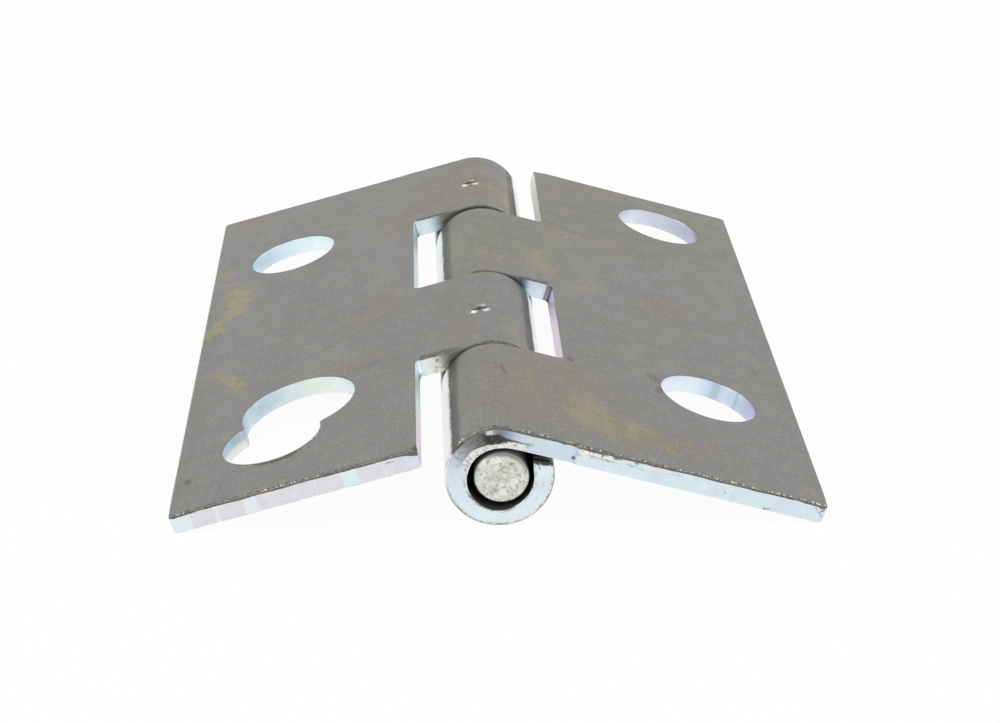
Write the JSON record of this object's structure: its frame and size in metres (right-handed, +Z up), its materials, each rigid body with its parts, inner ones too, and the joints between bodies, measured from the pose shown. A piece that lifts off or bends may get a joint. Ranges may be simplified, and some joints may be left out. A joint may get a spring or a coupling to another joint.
{
  "type": "dryer door hinge",
  "caption": "Small stamped-steel butt hinge with curled knuckles on a plain staked wire pin; one leaf has round screw holes, the other a keyhole and a round hole.",
  "frame": {"origin": "on the table that the hinge lies on, under the middle of the pin", "axes": "+Y along the pin, away from the keyhole end; +Z up; +X towards the leaf that swings"},
  "size_m": [0.0498, 0.0636, 0.0083],
  "materials": {
    "left_leaf_zinc": "clear passivated zinc plate, satin, with faint yellow and blue patches",
    "right_leaf_zinc": "clear passivated zinc plate, satin, with faint yellow and blue patches",
    "pin_wire": "zinc-plated wire with rough cropped ends"
  },
  "bodies": {
    "keyhole_leaf": {"left_leaf": "left_leaf_zinc", "hinge_pin": "pin_wire"},
    "swinging_leaf": {"right_leaf": "right_leaf_zinc"}
  },
  "joints": [
    {"name": "leaf_swing", "type": "hinge", "parent": "keyhole_leaf", "child": "swinging_leaf", "pos_m": [0, 0, 0.00415], "axis": [0, -1, 0], "range_deg": [-160, 128]}
  ]
}
